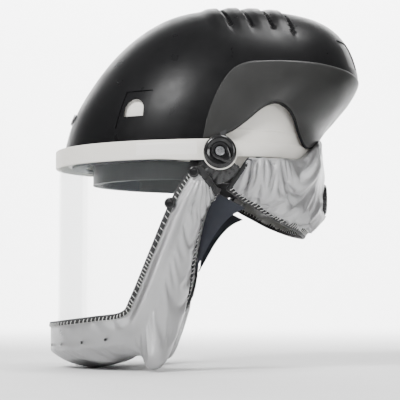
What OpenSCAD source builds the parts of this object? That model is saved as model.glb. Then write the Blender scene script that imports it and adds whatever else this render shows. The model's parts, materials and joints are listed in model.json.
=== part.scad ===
// Powered air respirator: a head-worn helmet with a fan, filters and battery under
// a lift-off cover, a tilting visor and a fabric face seal and neck cape.
// Frame: origin midway between the visor pivots, -Y is the face, +X the wearer's left.

/* [Dome] */
// Height of the cover's crown above the visor pivots
crown_h = 147; // [143:1:149]
// Half the width of the cover at the pivots
dome_half_w = 105; // [102:1:105]
// Wall of the top cover
cover_wall = 2.4; // [2:0.2:3]
// Number of raised ribs over the crown
rib_count = 4; // [3:1:4]
// Distance between ribs
rib_pitch = 19; // [17:0.5:20]

/* [Visor] */
// How far the brow band stands in front of the pivots
band_front = 156.5; // [155:0.5:160]
// Half the width over the brow band
band_half_w = 112; // [111.5:0.5:113]
// Height of the brow band
band_h = 17; // [15:1:18]
// Thickness of the clear visor sheet
lens_t = 1.5; // [1:0.1:2]
// How far the visor reaches below the pivots at the front
lens_drop = 170; // [160:1:175]

/* [Pivot] */
// Radius of the clamp knobs
knob_r = 14.3; // [13:0.1:15]
// Radius of the journal that the visor turns on
journal_r = 7.95; // [7:0.05:8]

/* [Machine] */
// Height of the deck that carries the fan, filters and battery
deck_z = 64; // [63:0.5:65]
// Radius of the fan wheel
wheel_r = 25; // [22:0.5:26]
// Number of fan blades
blade_count = 24; // [16:1:30]
// Number of pleats in a filter
pleat_count = 11; // [7:1:13]

/* [Harness] */
// Half the width inside the headband
band_in_w = 79; // [76:1:80]
// Teeth on the ratchet's pinion
pinion_teeth = 8; // [8:1:8]

/* [Hidden] */
$fn = 48;

// Each outline table is [size of the ring from 0 at the crown to 1 at the base, distance in Y].
FRONT = [[0, 12], [0.09, -14], [0.17, -37], [0.35, -68], [0.54, -98], [0.7, -121],
    [0.85, -140], [1, -151]];
BACK = [[0, 12], [0.12, 47], [0.24, 83], [0.35, 104], [0.5, 121], [0.64, 129.5],
    [0.7, 130], [0.77, 123], [0.85, 107.5], [0.9, 97], [1, 92]];
// Lower edge of the cover: [angle from the side towards the back, height].
EDGE = [[-90, 10], [-25, 10.5], [-8, 12.5], [3, 19], [10, 29], [17, 41], [23, 46],
    [29, 42.5], [35, 33], [41, 19], [46, 10.5], [50, 8.5], [56, 10.5], [68, 19],
    [80, 27], [90, 29]];
// Upper edge of a side panel, in the same form.
PANEL_TOP = [[-10, 20], [-9, 38], [-7, 54], [-4, 67], [0, 76], [5, 81], [12, 83.5],
    [40, 84.5], [60, 81], [75, 77], [90, 72]];
crown_y = 12;          // Y of the crown
base_scale = 0.955;    // size of the base against the cover
base_rear = 89;        // reach of the base behind the pivots, so that the cover lifts clear
base_wall = 2.4;
band_low = -5;
band_t = 3;
boss_r = 15.2;
boss_in = 108.4;       // inner face of the visor's pivot boss
flange_in = 101.6;
flange_out = 107.6;
screw_r = 3;
fan_y = -54;
fan_r = 30;
fan_h = 23;
port_x = [8, 28];      // the fan's outlet, side to side
port_y = [-97, -83];
filter_x = [13, 65];
filter_y = [-22, 42];
filter_h = 22;
battery_y = [46, 80];
battery_half_w = 36;
battery_h = 34;
nape_y = 80;
nape_z = -33;
pitch_r = 4.2;
tooth_pitch = 2 * PI * pitch_r / pinion_teeth;
catch_at = [0, -34.7, 43];
catch_turn = 27;       // how far a catch faces forward of sideways
switch_at = [-97.5, 44, 22];
socket_at = [-99, 27, 4];
sheet_t = 2;           // thickness given to fabric

// ---- curves and meshes ----

function flat(list) = [for (a = list) each a];
function mirrored(p) = [-p[0], p[1], p[2]];
// Which stretch of a table holds q.
function stretch(tab, q, i = 0) =
    i >= len(tab) - 2 || q < tab[i + 1][0] ? i : stretch(tab, q, i + 1);
function slope(tab, i) = let (a = max(i - 1, 0), b = min(i + 1, len(tab) - 1))
    (tab[b][1] - tab[a][1]) / (tab[b][0] - tab[a][0]);
// Smooth curve through a table of [position, value]; a value may be a point.
function curve(tab, q) = let (i = stretch(tab, q), h = tab[i + 1][0] - tab[i][0],
    s = (q - tab[i][0]) / h, s2 = s * s, s3 = s2 * s)
    (2 * s3 - 3 * s2 + 1) * tab[i][1] + (s3 - 2 * s2 + s) * h * slope(tab, i)
    + (3 * s2 - 2 * s3) * tab[i + 1][1] + (s3 - s2) * h * slope(tab, i + 1);
// The same through evenly spaced points, with u from 0 to 1.
function spaced(points) = [for (i = [0:len(points) - 1]) [i / (len(points) - 1), points[i]]];
function bezier(a, b, c, d, t) = pow(1 - t, 3) * a + 3 * t * pow(1 - t, 2) * b
    + 3 * t * t * (1 - t) * c + pow(t, 3) * d;

// A point of the dome at an angle from the side and a height; k shrinks the whole dome.
function dome(phi, z, k = 1, rear = 1000) = let (
    q = sqrt(max(0, crown_h - z / k) / crown_h),
    y0 = crown_y * (1 - q) + 52 * q * q * (1 - q),
    w = dome_half_w * pow(1 - pow(max(0, min(1, z / k / crown_h)), 2.25), 1 / 2.25),
    reach = sin(phi) < 0 ? y0 - curve(FRONT, q) : min(curve(BACK, q), rear / k) - y0,
    n = 2.2 + 0.2 * sin(phi),
    r = pow(pow(abs(cos(phi)) / w, n) + pow(abs(sin(phi)) / reach, n), -1 / n))
    [k * r * cos(phi), k * (y0 + r * sin(phi)), z];
function fold(phi) = asin(sin(phi));
function edge_z(phi) = curve(EDGE, fold(phi));
// Points of an ellipse about the origin from one angle to another.
function arc(w, a, from, to, steps) =
    [for (i = [0:steps]) let (t = from + (to - from) * i / steps) [w * cos(t), a * sin(t)]];

// Triangles of the quads between two rows of n points, turned over if flip is set.
function strip(a, b, n, flip) = flat([for (i = [0:n - 2])
    flip ? [[a[i], a[i + 1], b[i + 1]], [a[i], b[i + 1], b[i]]]
         : [[a[i], b[i + 1], a[i + 1]], [a[i], b[i], b[i + 1]]]]);

// A closed solid between two grids of points, columns i and rows j. With around set the
// columns close into a ring, and with crown set the last row closes to a point.
module between(outer, inner, around = false, crown = false) {
    n = len(outer);
    m = len(outer[0]);
    columns = around ? n + 1 : n;
    top = 2 * n * m;
    points = concat(flat(outer), flat(inner), crown ? [
        [0, 0, 1] * max([for (c = outer) c[m - 1][2]]) + [0, crown_y, 0.1],
        [0, 0, 1] * max([for (c = inner) c[m - 1][2]]) + [0, crown_y, 0.1]] : []);
    function o(i, j) = (i % n) * m + j;
    function p(i, j) = n * m + o(i, j);
    function row(side, j) = [for (i = [0:columns - 1]) side == 0 ? o(i, j) : p(i, j)];
    faces = concat(
        flat([for (j = [0:m - 2]) concat(strip(row(0, j), row(0, j + 1), columns, false),
            strip(row(1, j), row(1, j + 1), columns, true))]),
        strip(row(0, 0), row(1, 0), columns, true),
        crown ? flat([for (i = [0:n - 1]) [[o(i, m - 1), top, o(i + 1, m - 1)],
            [p(i, m - 1), p(i + 1, m - 1), top + 1]]])
              : strip(row(0, m - 1), row(1, m - 1), columns, false),
        around ? [] : concat(
            strip([for (j = [0:m - 1]) o(0, j)], [for (j = [0:m - 1]) p(0, j)], m, false),
            strip([for (j = [0:m - 1]) o(n - 1, j)], [for (j = [0:m - 1]) p(n - 1, j)], m, true)));
    polyhedron(points, faces, convexity = 10);
}

function unit(v) = v / max(norm(v), 1e-9);
function near(g, i, j) = g[max(0, min(len(g) - 1, i))][max(0, min(len(g[0]) - 1, j))];
function normal(g, i, j) = unit(cross(near(g, i + 1, j) - near(g, i - 1, j),
    near(g, i, j + 1) - near(g, i, j - 1)));
// A sheet of even thickness t on the inner side of a grid.
module sheet(g, t = sheet_t, side = 1) {
    back = [for (i = [0:len(g) - 1]) [for (j = [0:len(g[0]) - 1])
        g[i][j] - side * t * normal(g, i, j)]];
    if (side > 0) between(g, back);
    else between(back, g);
}

// A round tube along a path of points, closed at both ends.
module tube(path, r, sides = 8) {
    n = len(path);
    ring = [for (i = [0:n - 1]) let (
        along = unit(path[min(i + 1, n - 1)] - path[max(i - 1, 0)]),
        up = abs(along[2]) > 0.9 ? [0, 1, 0] : [0, 0, 1],
        a = unit(cross(along, up)), b = cross(a, along))
        [for (k = [0:sides - 1]) path[i] + r * (cos(k * 360 / sides) * a + sin(k * 360 / sides) * b)]];
    faces = concat([[for (k = [0:sides - 1]) k]],
        flat([for (i = [0:n - 2], k = [0:sides - 1]) let (l = (k + 1) % sides, a = i * sides,
            b = a + sides) [[a + k, b + k, b + l], [a + k, b + l, a + l]]]),
        [[for (k = [0:sides - 1]) n * sides - 1 - k]]);
    polyhedron(flat(ring), faces, convexity = 10);
}

// Children joined as one mesh, which suits walls with free-form surfaces.
module one_mesh() { resize([0, 0, 0]) children(); }
module pair() { children(); mirror([1, 0, 0]) children(); }
module along_x(r, from, to) { translate([from, 0, 0]) rotate([0, 90, 0]) cylinder(r = r, h = to - from); }
module box(low, high) { translate(low) cube(high - low); }
// A shape drawn in the Y-Z plane and extruded from one X to another.
module side_cut(outline, from, to) {
    translate([from, 0, 0]) rotate([90, 0, 90]) linear_extrude(height = to - from) polygon(outline);
}

// ---- cover ----

cover_columns = 60;
cover_rows = 13;
function cover_grid(k) = [for (i = [0:cover_columns - 1])
    let (phi = -90 + 360 * i / cover_columns, low = edge_z(phi))
    [for (j = [0:cover_rows]) let (up = 1 - pow(1 - j / cover_rows, 2))
        k * dome(phi, low + (crown_h * 0.997 - low) * up)]];

module rib(y) {
    sweep = 14;      // how far a rib runs back as it goes down the side
    half_w = [0, 26, 50, 68];
    for (side = [-1, 1], i = [0:2]) hull() for (k = [0, 1]) {
        x = half_w[i + k];
        top = crown_h * pow(1 - pow(x / dome_half_w, 2.25), 1 / 2.25);
        translate([side * x, y + sweep * pow(x / 68, 2), top - 2 - abs(y - crown_y) / 20])
            scale([1, 1.75, 1]) sphere(r = 3.8 - 1.6 * pow(x / 68, 2), $fn = 16);
    }
}

module catch_window(grow = 0) {
    r = 10 + grow;
    translate(catch_at) rotate([0, 0, -catch_turn]) rotate([90, 0, 90]) linear_extrude(height = 130) union() {
        translate([0, -1.5]) intersection() {
            circle(r = r, $fn = 32);
            translate([-r, 0]) square([2 * r, r]);
        }
        translate([-r, -7.5 - grow]) square([2 * r, 6.1 + grow]);
    }
}

module top_cover() color([0.06, 0.06, 0.065]) difference() {
    union() {
        between(cover_grid(1), cover_grid(1 - cover_wall / dome_half_w), around = true, crown = true);
        difference() {
            for (i = [0:rib_count - 1]) rib(-11 + i * rib_pitch);
            between(cover_grid(0.99), cover_grid(0.4), around = true, crown = true);
        }
    }
    catch_window();
    mirror([1, 0, 0]) catch_window();
}

panel_from = -9.6;
panel_to = 86;
function panel_grid(k) = [for (i = [0:26])
    let (phi = panel_from + (panel_to - panel_from) * pow(i / 26, 1.5),
        low = edge_z(phi) + 0.6, high = curve(PANEL_TOP, phi))
    [for (j = [0:7]) k * dome(phi, low + (high - low) * j / 7)]];
module side_panel() color([0.27, 0.275, 0.28]) between(panel_grid(1.012), panel_grid(1.006));

function badge_grid(k) = [for (i = [0:12])
    let (phi = -98 + 16 * i / 12, r = sqrt(max(0.04, 1 - pow(i / 6 - 1, 2))))
    [for (j = [0:4]) k * dome(phi, 43 + (j - 2) * 2.6 * r)]];
module front_badge() color([0.5, 0.5, 0.5]) between(badge_grid(1.015), badge_grid(1.006));

// ---- base and machine ----

// Rows of the base wall: [height, how far it steps in].
BASE_ROWS = [[-2, 0], [10, 0], [11, 1.4], [22, 1.4], [34, 1.6], [46, 2], [56, 3], [60, 4.5],
    [62.6, 7.5], [64, 12]];
base_columns = 48;
function base_grid(t) = [for (i = [0:base_columns - 1]) let (phi = -90 + 360 * i / base_columns)
    [for (row = BASE_ROWS) let (p = dome(phi, row[0], base_scale, base_rear), s = row[1] + t)
        [p[0] * (1 - s / 100), p[1] * (1 - s / 120), row[0] - (row[0] > 50 ? t * (row[0] - 50) / 14 : 0)]]];

module base_shell() color([0.86, 0.84, 0.79]) one_mesh() difference() {
    union() {
        between(base_grid(0), base_grid(base_wall), around = true, crown = true);
        deck_boss();
    }
    box([port_x[0], port_y[0], 50], [port_x[1], port_y[1], 80]);
    pair() along_x(screw_r + 0.4, 80, 120);
    translate(switch_at) box([-12, -8.4, -6.4], [25, 8.4, 6.4]);
    translate(socket_at) along_x(5.3, -15, 20);
    pair() catch_slot();
    box([-76, 5, deck_z - 9], [-68, 16, deck_z + 5]);
}
// A pad under the fan's outlet, which closes the duct's mouth.
module deck_boss() {
    box([port_x[0] - 3, port_y[0] - 3, deck_z - 3.5], [port_x[1] + 3, port_y[1] + 3, deck_z]);
}
module catch_slot() {
    translate(catch_at) rotate([0, 0, -catch_turn]) box([74, -12.5, -11], [110, 12.5, 12]);
}

module air_duct() color([0.2, 0.2, 0.21]) difference() {
    hull() {
        box([port_x[0] - 2, port_y[0] - 2, 56], [port_x[1] + 2, port_y[1] + 2, 57.6]);
        box([-28, -131, 2], [28, -120.5, 8]);
    }
    hull() {
        box([port_x[0], port_y[0], 56], [port_x[1], port_y[1], 58]);
        box([-26, -129, 1], [26, -122, 8]);
    }
}

module brow_seal() color([0.15, 0.15, 0.16]) translate([0, 0, -4.6]) linear_extrude(height = 2.4)
    polygon(concat(arc(97.5, 141, 188, 352, 48), arc(88, 128, 352, 188, 48)));

module fan_bolt_at() for (a = [45, 150, 225]) translate([32.5 * cos(a), fan_y + 32.5 * sin(a), 0]) children();
module fan_body(r, grow) {
    translate([0, fan_y, 0]) cylinder(r = r, h = fan_h);
    box([port_x[0] - 2 + grow, port_y[0] - 2 + grow, 0], [port_x[1] + 2 - grow, fan_y, fan_h]);
}
module fan_housing() color([0.2, 0.2, 0.21]) translate([0, 0, deck_z + 0.2]) difference() {
    union() {
        fan_body(fan_r, 0);
        fan_bolt_at() cylinder(r = 4, h = fan_h);
    }
    translate([0, 0, 2]) fan_body(fan_r - 2, 2);
    box([port_x[0], port_y[0], -1], [port_x[1], port_y[1], 4]);
    fan_bolt_at() translate([0, 0, 6]) cylinder(r = 1.3, h = 30);
}
lid_z = deck_z + 0.4 + fan_h;
module fan_lid() color([0.25, 0.25, 0.26]) translate([0, 0, lid_z]) difference() {
    union() {
        intersection() { fan_body(fan_r, 0); box([-50, -98.3, 0], [50, 0, 2]); }
        fan_bolt_at() cylinder(r = 4, h = 2);
    }
    translate([0, fan_y, -1]) cylinder(r = 17, h = 5);
    fan_bolt_at() translate([0, 0, -1]) cylinder(r = 1.5, h = 5);
}
module fan_screws() color([0.6, 0.6, 0.62]) fan_bolt_at() difference() {
    union() {
        translate([0, 0, lid_z - 10]) cylinder(r = 1.2, h = 12.1);
        translate([0, 0, lid_z + 2.1]) cylinder(r = 2.8, h = 1.7);
    }
    translate([0, 0, lid_z + 2.8]) for (a = [0, 90]) rotate([0, 0, a]) box([-1.9, -0.3, 0], [1.9, 0.3, 2]);
}
motor_z = deck_z + 2.4;
module motor() color([0.62, 0.63, 0.65]) translate([0, fan_y, motor_z]) difference() {
    union() {
        cylinder(r = 11.5, h = 15);
        cylinder(r = 4, h = 16.2);
    }
    translate([0, 0, 6]) cylinder(r = 1.05, h = 20);
}
module motor_shaft() color([0.8, 0.8, 0.82]) translate([0, fan_y, motor_z + 6.5]) cylinder(r = 1, h = 14);
module impeller() color([0.12, 0.12, 0.13]) translate([0, fan_y, motor_z + 2]) {
    difference() {
        union() {
            cylinder(r = 13.8, h = 17);
            cylinder(r = wheel_r, h = 1.4);
            for (i = [0:blade_count - 1]) rotate([0, 0, 360 * i / blade_count])
                translate([wheel_r - 3.8, 0, 1]) rotate([0, 0, 35])
                    translate([-3, -0.4, 0]) cube([6, 0.8, 13]);
            translate([0, 0, 13]) difference() {
                cylinder(r = wheel_r, h = 1.2);
                translate([0, 0, -1]) cylinder(r = wheel_r - 4, h = 4);
            }
        }
        translate([0, 0, -1]) cylinder(r = 12.3, h = 16.2);
        translate([0, 0, 10]) cylinder(r = 1.01, h = 10);
    }
}

module filter_frame() color([0.9, 0.9, 0.9]) {
    low = [filter_x[0], filter_y[0], deck_z + 1.8];
    high = [filter_x[1], filter_y[1], deck_z + 1.8 + filter_h];
    difference() {
        box(low, high);
        box(low + [2, 2, 2], high + [-2, -2, 1]);
        for (i = [0:3], k = [0:5])
            translate([low[0] + 5 + i * 11, low[1] + 5 + k * 10, low[2] - 1]) cube([8.5, 7.5, 4]);
    }
}
module filter_pleats() color([0.95, 0.95, 0.93]) {
    step = (filter_y[1] - filter_y[0] - 5) / (2 * pleat_count);
    low = deck_z + 4.1;
    high = deck_z + filter_h - 0.6;
    line = [for (i = [0:2 * pleat_count]) [filter_y[0] + 2.5 + i * step, i % 2 == 0 ? low : high]];
    side_cut(concat(line, [for (i = [2 * pleat_count:-1:0]) line[i] + [0, 1.4]]),
        filter_x[0] + 2.3, filter_x[1] - 2.3);
}
module filter_gaskets() color([0.1, 0.1, 0.1]) pair() difference() {
    box([filter_x[0] + 1, filter_y[0] + 1, deck_z + 0.2], [filter_x[1] - 1, filter_y[1] - 1, deck_z + 1.6]);
    box([filter_x[0] + 4, filter_y[0] + 4, deck_z - 1], [filter_x[1] - 4, filter_y[1] - 4, deck_z + 4]);
}

module battery_case() color([0.1, 0.22, 0.45]) difference() {
    box([-battery_half_w, battery_y[0], deck_z + 0.2],
        [battery_half_w, battery_y[1], deck_z + 0.2 + battery_h]);
    box([-battery_half_w + 1.4, battery_y[0] + 1.4, deck_z + 1.6],
        [battery_half_w - 1.4, battery_y[1] - 1.4, deck_z + battery_h - 1.2]);
    translate([-30, battery_y[0] + 5, deck_z + 8]) rotate([90, 0, 0]) cylinder(r = 2, h = 10);
}
module battery_cells() color([0.75, 0.75, 0.3])
    translate([-33.4, (battery_y[0] + battery_y[1]) / 2, deck_z + 0.2 + battery_h / 2])
        for (y = [-7.7, 7.7], z = [-7.7, 7.7]) translate([0, y, z]) rotate([0, 90, 0]) {
            cylinder(r = 7.4, h = 65);
            translate([0, 0, 64]) cylinder(r = 3, h = 2.4);
        }
module battery_strap() color([0.15, 0.15, 0.15]) difference() {
    box([-8, battery_y[0] - 1.8, deck_z + 0.2], [8, battery_y[1] + 1.8, deck_z + 1.9 + battery_h]);
    box([-10, battery_y[0] - 0.3, deck_z - 1], [10, battery_y[1] + 0.3, deck_z + 0.4 + battery_h]);
}
module circuit_board() color([0.1, 0.35, 0.18]) {
    box([-10, 2, deck_z + 2], [10, 40, deck_z + 3.6]);
    for (x = [-7, 7], y = [5, 37]) translate([x, y, deck_z + 0.2]) cylinder(r = 2, h = 1.8);
    box([-6, 12, deck_z + 3.6], [6, 22, deck_z + 5.8]);
    for (x = [-5, 5]) translate([x, 30, deck_z + 3.6]) cylinder(r = 3, h = 8);
}

// Wires: battery to board, board to motor, board to switch.
WIRES = [
    [[-30, 44.2, 72], [-30, 43.6, 68], [-24, 43.6, 66.6], [-14, 43.6, 66.6], [-11.5, 41, 66.8],
        [-11.5, 34, 67.5], [-11.5, 26, 67.5]],
    [[0, 0.6, 67], [0, -8, 66], [-2, -14, 65.8], [-5, -19, 66], [-6, -22, 70]],
    [[-11.5, 12, 67], [-11.5, 4, 66], [-11.5, -22, 65.8], [-15, -24.4, 65.4], [-50, -24.4, 65.4],
        [-65, -24, 65.4], [-68, -19, 65.5], [-71, -4, 66], [-72, 8, 65], [-72, 12, 60], [-74, 20, 52],
        [-82, 34, 38], [-83.6, 42, 28], [-84.3, 44, 22]]
];
module wiring_loom() color([0.7, 0.1, 0.1]) for (w = WIRES)
    tube([for (i = [0:20]) curve(spaced(w), i / 20)], 1, 6);

module switch_housing() color([0.1, 0.1, 0.1]) translate(switch_at) difference() {
    union() {
        box([-2, -8, -6], [12, 8, 6]);
        box([-4, -10, -8], [-1.6, 10, 8]);
    }
    box([-5, -6.6, -4.6], [8, 6.6, 4.6]);
}
rocker_at = switch_at - [1.4, 0, 0];
module switch_rocker() color([0.7, 0.08, 0.06]) translate(rocker_at) difference() {
    intersection() {
        box([-5, -6.2, -4.2], [3, 6.2, 4.2]);
        translate([2, 0, -5]) cylinder(r = 6.9, h = 10);
    }
    translate([-14.5, 0, -6]) cylinder(r = 11, h = 12);
}
module charge_socket() color([0.12, 0.12, 0.12]) translate(socket_at) difference() {
    union() {
        along_x(5, -3.6, 12);
        along_x(7.4, -4.6, -2.6);
    }
    along_x(1.75, -6, 8);
}
cap_hinge = [socket_at[0] - 5.6, socket_at[1], socket_at[2] + 9.2];
module charge_cap() color([0.08, 0.08, 0.08]) {
    translate(socket_at) along_x(6.8, -6.4, -4.8);
    translate(cap_hinge) {
        box([-0.8, -3, -5], [0.8, 3, 0]);
        translate([0, -3, 0]) rotate([-90, 0, 0]) cylinder(r = 1.3, h = 6);
    }
}

// A catch plate leans behind each window of the cover, with a stem through the base.
module cover_catch() color([0.84, 0.82, 0.77]) translate(catch_at) rotate([0, 0, -catch_turn]) {
    translate([88.2, 0, 0]) rotate([0, -12, 0]) box([-0.9, -11.5, -9], [0.9, 11.5, 10]);
    box([74, -4, -3], [87.8, 4, 3]);
}

// ---- harness ----

band_mid_y = -17;
// Height of the headband's centre line and half its height, by angle.
BAND_Z = [[-90, [-9, 11]], [-50, [-10, 10]], [0, [-14, 8]], [45, [-25, 7.5]], [90, [-33, 7]]];
function rounded(t, n) = [cos(t), sin(t)] / pow(pow(abs(cos(t)), n) + pow(abs(sin(t)), n), 1 / n);
function headband_grid(w, a, from, to, steps) = [for (i = [0:steps])
    let (t = from + (to - from) * i / steps, z = curve(BAND_Z, fold(t)),
        p = rounded(t, sin(t) > 0 ? 2.8 : 2))
    [for (j = [-1, 1]) [w * p[0], band_mid_y + a * p[1], z[0] + j * z[1]]]];
module band_part(out_w, out_a, in_w, in_a, from, to, steps)
    between(headband_grid(out_w, out_a, from, to, steps), headband_grid(in_w, in_a, from, to, steps));
module headband() color([0.12, 0.12, 0.13]) band_part(band_in_w + 2, 104, band_in_w, 102, -242.5, 62.5, 64);
module sweatband() color([0.1, 0.1, 0.11])
    band_part(band_in_w - 0.4, 101.6, band_in_w - 5, 96.5, -140, -40, 30);

function strap_arc(a, b, low, high) = [for (i = [0:40])
    let (t = low + (high - low) * i / 40) [a * cos(t), b * sin(t)]];
module strap(a, b, low, high, w) rotate([90, 0, 90]) translate([0, 0, -w / 2]) linear_extrude(height = w)
    polygon(concat(strap_arc(a, b, low, high), strap_arc(a - 1.6, b - 1.6, high, low)));
module crown_straps() color([0.15, 0.15, 0.16]) {
    translate([0, -18, -5]) strap(97.8, 59, -2, 171, 18);
    translate([0, -18, -7]) rotate([0, 0, 90]) strap(78.4, 57.6, -2, 182, 18);
}
module crown_pad() color([0.1, 0.1, 0.11]) translate([0, -18, 40.6]) cylinder(r = 26, h = 4.4);
module harness_clips() color([0.8, 0.8, 0.8]) pair() {
    box([73.8, -72, -1.9], [82.6, -62, 5]);
    box([76.6, 38, -13], [85.2, 47, 2]);
}

module nape_housing() color([0.1, 0.1, 0.1]) difference() {
    box([-30, nape_y, nape_z - 10.5], [30, nape_y + 7, nape_z + 10.5]);
    box([-50, nape_y + 1.5, nape_z - 9], [50, nape_y + 5, nape_z + 9]);
    translate([0, nape_y, nape_z]) rotate([-90, 0, 0]) cylinder(r = 2.6, h = 20);
}
module nape_pad() color([0.13, 0.13, 0.14])
    hull() for (x = [-26, 26], z = [-6, 6]) translate([x, nape_y - 5.4, nape_z + z]) rotate([-90, 0, 0])
        cylinder(r = 5, h = 5, $fn = 24);
module rack(side) translate([0, nape_y + 2.2, nape_z]) difference() {
    rotate([90, 0, 0]) mirror([0, 0, 1]) linear_extrude(height = 2) scale([side, side]) union() {
        translate([-14, 5.2]) square([48, 3.2]);
        for (i = [-4:9]) translate([tooth_pitch * (i + 0.5), 0])
            polygon([[-0.65, 5.4], [-0.45, 3.7], [0.45, 3.7], [0.65, 5.4]]);
    }
}
module ratchet_pinion() color([0.5, 0.5, 0.52]) translate([0, nape_y + 2.1, nape_z]) rotate([-90, 0, 0]) {
    cylinder(r = 3.2, h = 2.2);
    for (i = [0:pinion_teeth - 1]) rotate([0, 0, 360 * i / pinion_teeth]) linear_extrude(height = 2.2)
        polygon([[2.6, -0.6], [4.9, -0.32], [4.9, 0.32], [2.6, 0.6]]);
    cylinder(r = 2.5, h = 9.5);
}
module ratchet_knob() color([0.06, 0.06, 0.06]) translate([0, nape_y + 7.6, nape_z]) rotate([-90, 0, 0])
    difference() {
        union() {
            cylinder(r = 15, h = 11);
            translate([0, 0, 11]) cylinder(r1 = 15, r2 = 13.4, h = 1.6);
        }
        for (i = [0:17]) rotate([0, 0, 20 * i])
            translate([15.8, 0, -1]) cylinder(r = 1.5, h = 14.5, $fn = 16);
        translate([0, 0, -1]) cylinder(r = 2.51, h = 7);
    }

// ---- pivots ----

module pivot_bushes() color([0.3, 0.3, 0.31]) pair() difference() {
    union() {
        along_x(12.5, flange_in, flange_out);
        along_x(journal_r, flange_out, 111.8);
    }
    along_x(screw_r + 0.1, 90, 120);
}
module pivot_washers() color([0.05, 0.05, 0.05]) pair() difference() {
    union() {
        along_x(14.5, flange_out + 0.1, boss_in - 0.1);
        side_cut([[0, 13], [5, 13], [5.5, 20.5], [0, 18]], flange_out + 0.1, boss_in - 0.1);
    }
    along_x(8.2, 100, 120);
}
module pivot_screws() color([0.75, 0.76, 0.78]) pair() difference() {
    union() {
        along_x(6, 92.6, 96.4);
        along_x(screw_r, 96, 121.4);
    }
    along_x(1.4, 120, 123);
}
module pivot_knob() color([0.05, 0.05, 0.055]) difference() {
    union() {
        along_x(knob_r, 112.4, 119.6);
        translate([119.6, 0, 0]) rotate([0, 90, 0]) cylinder(r1 = knob_r, r2 = knob_r - 1.6, h = 1.4);
        hull() {
            translate([120.5, 0, 0]) rotate([0, 90, 0]) cylinder(r = 7.6, h = 3.5);
            translate([120.5, 6.5, -7]) rotate([0, 90, 0]) cylinder(r = 2.4, h = 2.6);
        }
    }
    along_x(screw_r + 0.05, 110, 130);
    translate([120.4, 0, 0]) rotate([0, 90, 0]) cylinder(r = 5.4, h = 6, $fn = 6);
}

// A soft flap under each pivot, between the face seal and the neck cape.
function flap_point(i, j) = let (a = 205 + 120 * i / 16, far = 27 - 6 * abs(i - 8) / 8,
    r = 15.2 + (far - 15.2) * j / 3)
    [106.8 - 0.12 * (r - 15) * (r - 15) / 3, r * cos(a), r * sin(a)];
module pivot_flaps() color([0.07, 0.07, 0.07]) pair()
    sheet([for (i = [0:16]) [for (j = [0:3]) flap_point(i, j)]], 1.2);

// ---- visor ----

// A wall round the front of an ellipse, ending at the given Y.
module u_wall(w, a, t, low, high, back) translate([0, 0, low]) linear_extrude(height = high - low) {
    cut = asin(-back / a);
    polygon(concat(arc(w, a, 180 + cut, 360 - cut, 72), arc(w - t, a - t, 360 - cut, 180 + cut, 72)));
}
module visor_frame() color([0.83, 0.8, 0.74]) difference() {
    union() {
        u_wall(band_half_w, band_front, band_t, band_low, band_low + band_h, -8);
        pair() {
            along_x(boss_r, boss_in, band_half_w);
            box([boss_in, -16, band_low], [band_half_w - 0.2, 0, band_low + band_h]);
        }
    }
    pair() along_x(journal_r + 0.05, 100, 130);
}

lens_w = band_half_w - band_t - 0.3;
lens_a = band_front - band_t - 0.3;
// Side outline of the visor sheet: Y and Z.
LENS = [[-170, 8], [-27, 8], [-27, -14], [-37, -40], [-56, -88], [-73, -132], [-84, -146],
    [-110, -lens_drop + 17], [-170, -lens_drop + 13]];
module visor_lens() color([0.8, 0.88, 0.9, 0.35]) intersection() {
    u_wall(lens_w, lens_a, lens_t, -190, 20, -10);
    side_cut(LENS, -130, 130);
}
// Where something at Y sits on the outside of the visor sheet, grown by g.
function lens_x(y, g = 0) = (lens_w + g) * sqrt(max(0, 1 - pow(y / (lens_a + g), 2)));
SNAPS = [[-22.5, -17], [-43, -44]];
// Carries a fitting to a place on the outside of the visor sheet.
module snap_at(y, z) translate([lens_x(y, 1), y, z])
    rotate([0, 0, atan2(y * pow(lens_w / lens_a, 2), lens_x(y))]) children();
module lens_snaps() color([0.04, 0.04, 0.045]) pair() for (s = SNAPS) snap_at(s[0], s[1]) {
    translate([2, 0, 0]) rotate([0, 90, 0]) cylinder(r = 4.6, h = 1.6);
    translate([3.6, 0, 0]) rotate([0, 90, 0]) cylinder(r1 = 4.6, r2 = 3, h = 1.1);
    translate([-3.4, 0, 0]) rotate([0, 90, 0]) cylinder(r = 1.8, h = 6);
}

// ---- fabric ----

// Lines of the face seal on the wearer's left, from the pivot down to the chin: the front edge
// on the visor, the fold at the visor's rim, and the elastic edge round the jaw.
SEAL_FRONT = [[110.3, -17, -12], [109.3, -27, -17], [106.5, -43, -43], [101.9, -60, -83], [95.8, -78, -126],
    [91.4, -87, -139], [76.5, -113, -143], [46, -144, -147], [0, -160.5, -149]];
SEAL_RIM = [[107.6, -8, -24], [106.8, -15, -33], [105.4, -28, -52], [103.6, -43, -94], [99.4, -60, -141],
    [94, -74, -162], [78.5, -108, -169], [47, -143, -173], [0, -160, -175]];
SEAL_REAR = [[92.4, 0, -31], [88, -8, -39], [82, -15, -52], [72, -22, -82], [66, -26, -112], [60, -37, -140],
    [50, -52, -160], [30, -66, -171], [0, -72, -175]];
// How far the fabric bellies out and down between the rim and the elastic edge.
BELLY = [[1, 0, -3], [3, 0, -4], [6, -1, -4], [8, -3, -6], [6, -4, -12], [-6, -12, -24], [-12, -18, -22],
    [-8, -10, -17], [0, -6, -15]];
// A slack corner hangs out and down below the jaw: how far, where along the seal and how wide.
lobe_hang = [10, -2, -42];
lobe_at = 0.27;
lobe_w = 0.028;
function lobe(s) = exp(-pow((min(s, 1 - s) - lobe_at) / lobe_w, 2))
    * [s < 0.5 ? lobe_hang[0] : -lobe_hang[0], lobe_hang[1], lobe_hang[2]];

// The same line carried across to the other side.
function across(points) = spaced(concat(points, [for (i = [len(points) - 2:-1:0]) mirrored(points[i])]));
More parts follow.
